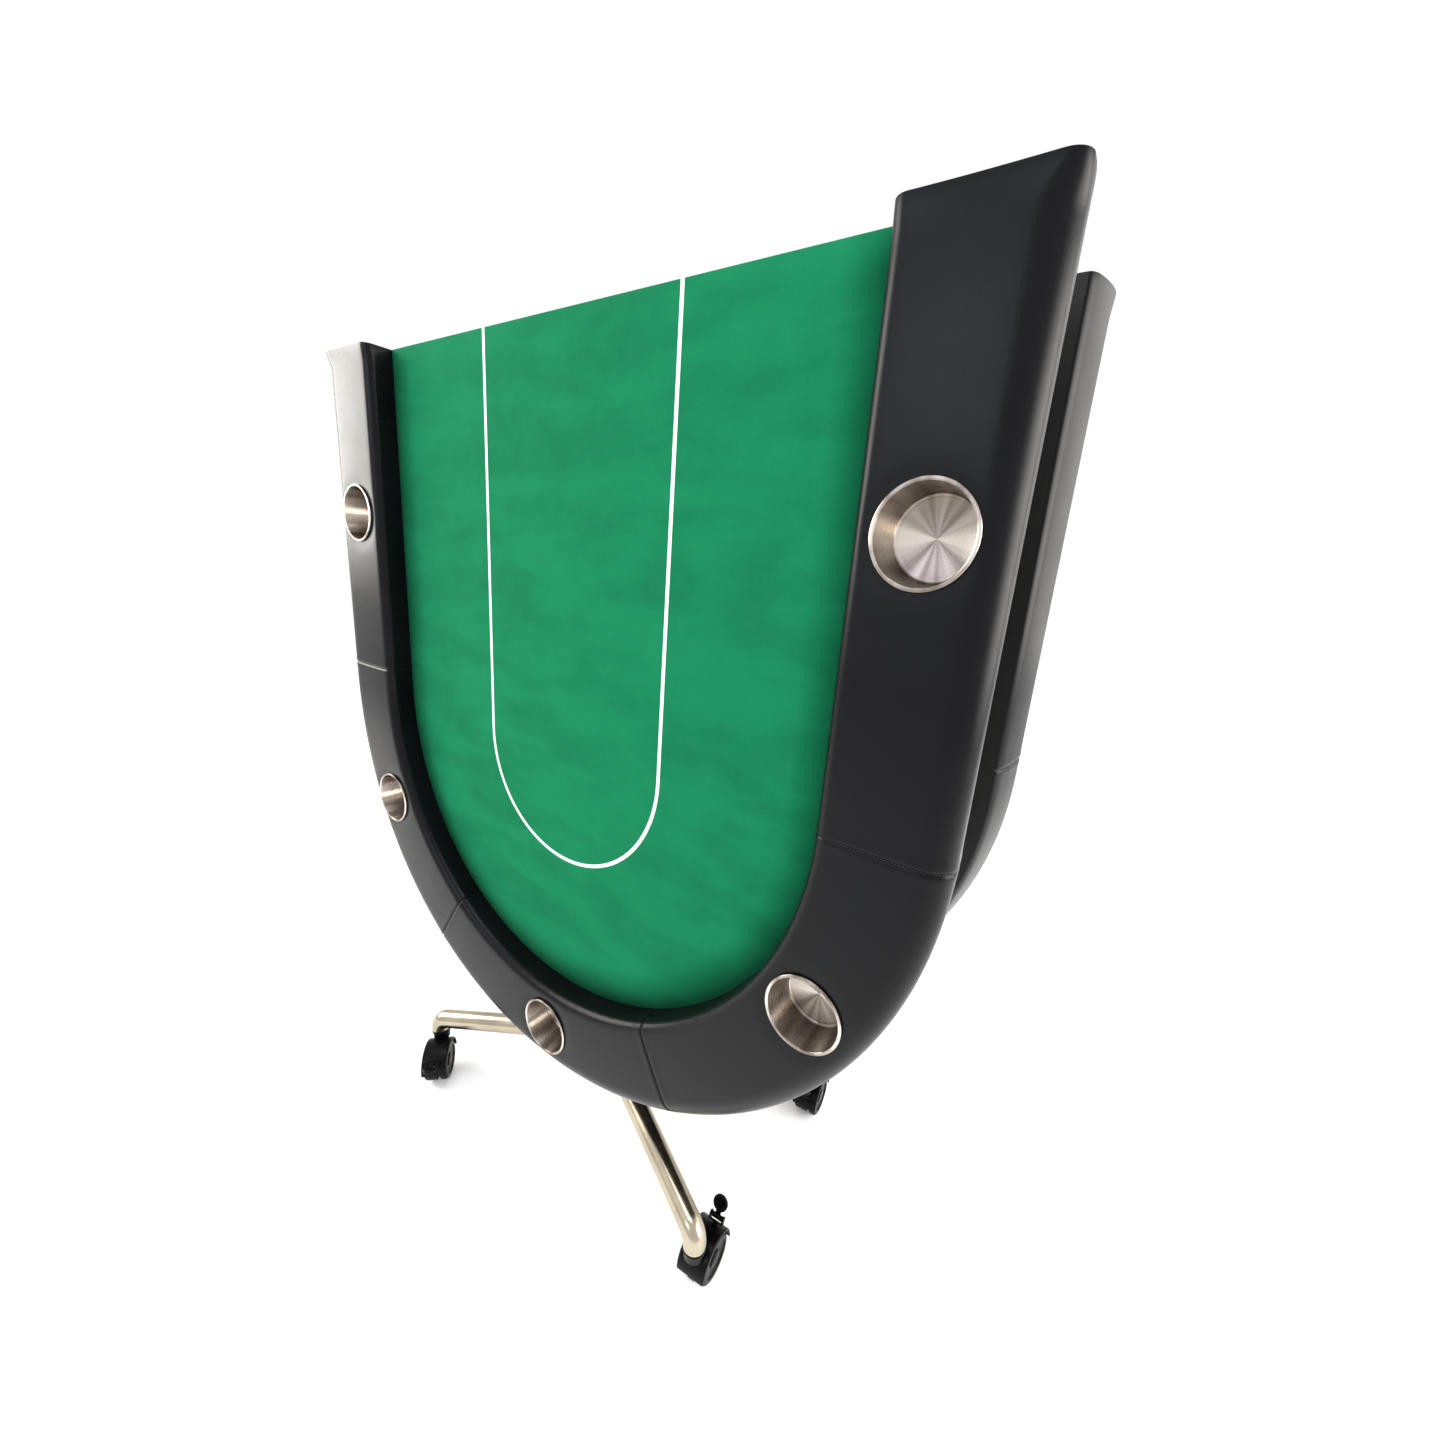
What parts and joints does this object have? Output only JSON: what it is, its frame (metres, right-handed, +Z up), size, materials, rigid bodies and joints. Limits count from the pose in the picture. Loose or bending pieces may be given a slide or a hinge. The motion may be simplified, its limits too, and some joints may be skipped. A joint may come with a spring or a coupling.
{
  "type": "folding card table",
  "caption": "Folding casino card table: hinged D-shaped leaves with green felt, padded black rails and metal cup holders, stored upright back to back on a castor base.",
  "frame": {"origin": "on the floor, under the middle of the folded table", "axes": "+X to the right of a person facing the front leaf, front leaf faces -Y, +Z up"},
  "size_m": [1.2, 0.5858, 1.4255],
  "materials": {
    "felt": "short-napped gaming cloth",
    "vinyl": "satin black upholstery vinyl over foam",
    "plywood": "birch plywood, stained black",
    "brushed_nickel": "brushed, warm nickel tint",
    "satin_steel": "satin nickel-plated tube",
    "dark_steel": "black powder coat",
    "zinc_steel": "zinc plated",
    "castor_plastic": "moulded nylon",
    "knob_plastic": "moulded nylon"
  },
  "bodies": {
    "front_base": {"front_hub": "satin_steel", "front_column": "satin_steel", "front_head_tube": "satin_steel", "front_lock_quadrant": "dark_steel", "front_foot_left": "satin_steel", "front_foot_right": "satin_steel"},
    "front_leaf": {"front_board": "plywood", "front_felt": "felt", "front_rail_pad": "vinyl", "front_rail_base": "plywood", "front_edge_batten": "plywood", "front_pivot_brackets": "dark_steel", "front_pivot_shaft": "zinc_steel", "front_spine_brackets": "dark_steel", "front_screws": "zinc_steel", "front_cup_holder_1": "brushed_nickel", "front_cup_holder_2": "brushed_nickel", "front_cup_holder_3": "brushed_nickel", "front_cup_holder_4": "brushed_nickel", "front_cup_holder_5": "brushed_nickel", "spine_pins": "zinc_steel"},
    "front_knob": {"front_clamp_knob": "knob_plastic"},
    "rear_leaf": {"rear_board": "plywood", "rear_felt": "felt", "rear_rail_pad": "vinyl", "rear_rail_base": "plywood", "rear_edge_batten": "plywood", "rear_pivot_brackets": "dark_steel", "rear_pivot_shaft": "zinc_steel", "rear_spine_brackets": "dark_steel", "rear_screws": "zinc_steel", "rear_cup_holder_1": "brushed_nickel", "rear_cup_holder_2": "brushed_nickel", "rear_cup_holder_3": "brushed_nickel", "rear_cup_holder_4": "brushed_nickel", "rear_cup_holder_5": "brushed_nickel"},
    "rear_base": {"rear_hub": "satin_steel", "rear_column": "satin_steel", "rear_head_tube": "satin_steel", "rear_lock_quadrant": "dark_steel", "rear_foot_left": "satin_steel", "rear_foot_right": "satin_steel"},
    "rear_knob": {"rear_clamp_knob": "knob_plastic"},
    "front_left_castor": {"castor_front_left_housing": "castor_plastic", "castor_front_left_stem": "zinc_steel"},
    "front_left_wheels": {"castor_front_left_wheels": "castor_plastic"},
    "front_left_pedal": {"castor_front_left_pedal": "castor_plastic"},
    "front_right_castor": {"castor_front_right_housing": "castor_plastic", "castor_front_right_stem": "zinc_steel"},
    "front_right_wheels": {"castor_front_right_wheels": "castor_plastic"},
    "front_right_pedal": {"castor_front_right_pedal": "castor_plastic"},
    "rear_left_castor": {"castor_rear_left_housing": "castor_plastic", "castor_rear_left_stem": "zinc_steel"},
    "rear_left_wheels": {"castor_rear_left_wheels": "castor_plastic"},
    "rear_left_pedal": {"castor_rear_left_pedal": "castor_plastic"},
    "rear_right_castor": {"castor_rear_right_housing": "castor_plastic", "castor_rear_right_stem": "zinc_steel"},
    "rear_right_wheels": {"castor_rear_right_wheels": "castor_plastic"},
    "rear_right_pedal": {"castor_rear_right_pedal": "castor_plastic"}
  },
  "joints": [
    {"name": "leaf_fold", "type": "hinge", "parent": "front_base", "child": "front_leaf", "pos_m": [0, -0.05145, 0.604], "axis": [-1, 0, 0], "range_deg": [0, 87.5]},
    {"name": "spine_fold", "type": "hinge", "parent": "front_leaf", "child": "rear_leaf", "pos_m": [0, 0, 1.41348], "axis": [1, 0, 0], "range_deg": [0, 175]},
    {"name": "rear_leaf_tilt", "type": "hinge", "parent": "rear_leaf", "child": "rear_base", "pos_m": [0, 0.05145, 0.604], "axis": [-1, 0, 0], "range_deg": [0, 87.5]},
    {"name": "front_clamp_turn", "type": "hinge", "parent": "front_leaf", "child": "front_knob", "pos_m": [0.11, -0.09141, 0.60574], "axis": [1, 0, 0], "range_deg": [0, 180]},
    {"name": "rear_clamp_turn", "type": "hinge", "parent": "rear_leaf", "child": "rear_knob", "pos_m": [-0.11, 0.09141, 0.60574], "axis": [-1, 0, 0], "range_deg": [0, 180]},
    {"name": "front_left_swivel", "type": "hinge", "parent": "front_base", "child": "front_left_castor", "pos_m": [-0.346, -0.215, 0.095], "axis": [0, 0, 1], "continuous": true},
    {"name": "front_left_roll", "type": "hinge", "parent": "front_left_castor", "child": "front_left_wheels", "pos_m": [-0.32447, -0.2373, 0.0375], "axis": [0.7193, 0.6947, 0], "continuous": true},
    {"name": "front_left_brake", "type": "hinge", "parent": "front_left_castor", "child": "front_left_pedal", "pos_m": [-0.29749, -0.26523, 0.06571], "axis": [-0.7193, -0.6947, 0], "range_deg": [0, 45]},
    {"name": "front_right_swivel", "type": "hinge", "parent": "front_base", "child": "front_right_castor", "pos_m": [0.346, -0.215, 0.095], "axis": [0, 0, 1], "continuous": true},
    {"name": "front_right_roll", "type": "hinge", "parent": "front_right_castor", "child": "front_right_wheels", "pos_m": [0.34384, -0.18408, 0.0375], "axis": [-0.9976, -0.0698, 0], "continuous": true},
    {"name": "front_right_brake", "type": "hinge", "parent": "front_right_castor", "child": "front_right_pedal", "pos_m": [0.34113, -0.14534, 0.06571], "axis": [-0.9976, -0.0698, 0], "range_deg": [0, 45]},
    {"name": "rear_left_swivel", "type": "hinge", "parent": "rear_base", "child": "rear_left_castor", "pos_m": [-0.346, 0.215, 0.095], "axis": [0, 0, 1], "continuous": true},
    {"name": "rear_left_roll", "type": "hinge", "parent": "rear_left_castor", "child": "rear_left_wheels", "pos_m": [-0.36753, 0.2373, 0.0375], "axis": [-0.7193, -0.6947, 0], "continuous": true},
    {"name": "rear_left_brake", "type": "hinge", "parent": "rear_left_castor", "child": "rear_left_pedal", "pos_m": [-0.39451, 0.26523, 0.06571], "axis": [0.7193, 0.6947, 0], "range_deg": [0, 45]},
    {"name": "rear_right_swivel", "type": "hinge", "parent": "rear_base", "child": "rear_right_castor", "pos_m": [0.346, 0.215, 0.095], "axis": [0, 0, 1], "continuous": true},
    {"name": "rear_right_roll", "type": "hinge", "parent": "rear_right_castor", "child": "rear_right_wheels", "pos_m": [0.3487, 0.18412, 0.0375], "axis": [0.9962, 0.0872, 0], "continuous": true},
    {"name": "rear_right_brake", "type": "hinge", "parent": "rear_right_castor", "child": "rear_right_pedal", "pos_m": [0.35209, 0.14543, 0.06571], "axis": [0.9962, 0.0872, 0], "range_deg": [0, 45]}
  ],
  "couplings": [
    {"joint": "spine_fold", "follows": "leaf_fold", "ratio": 2},
    {"joint": "rear_leaf_tilt", "follows": "leaf_fold", "ratio": 1}
  ]
}
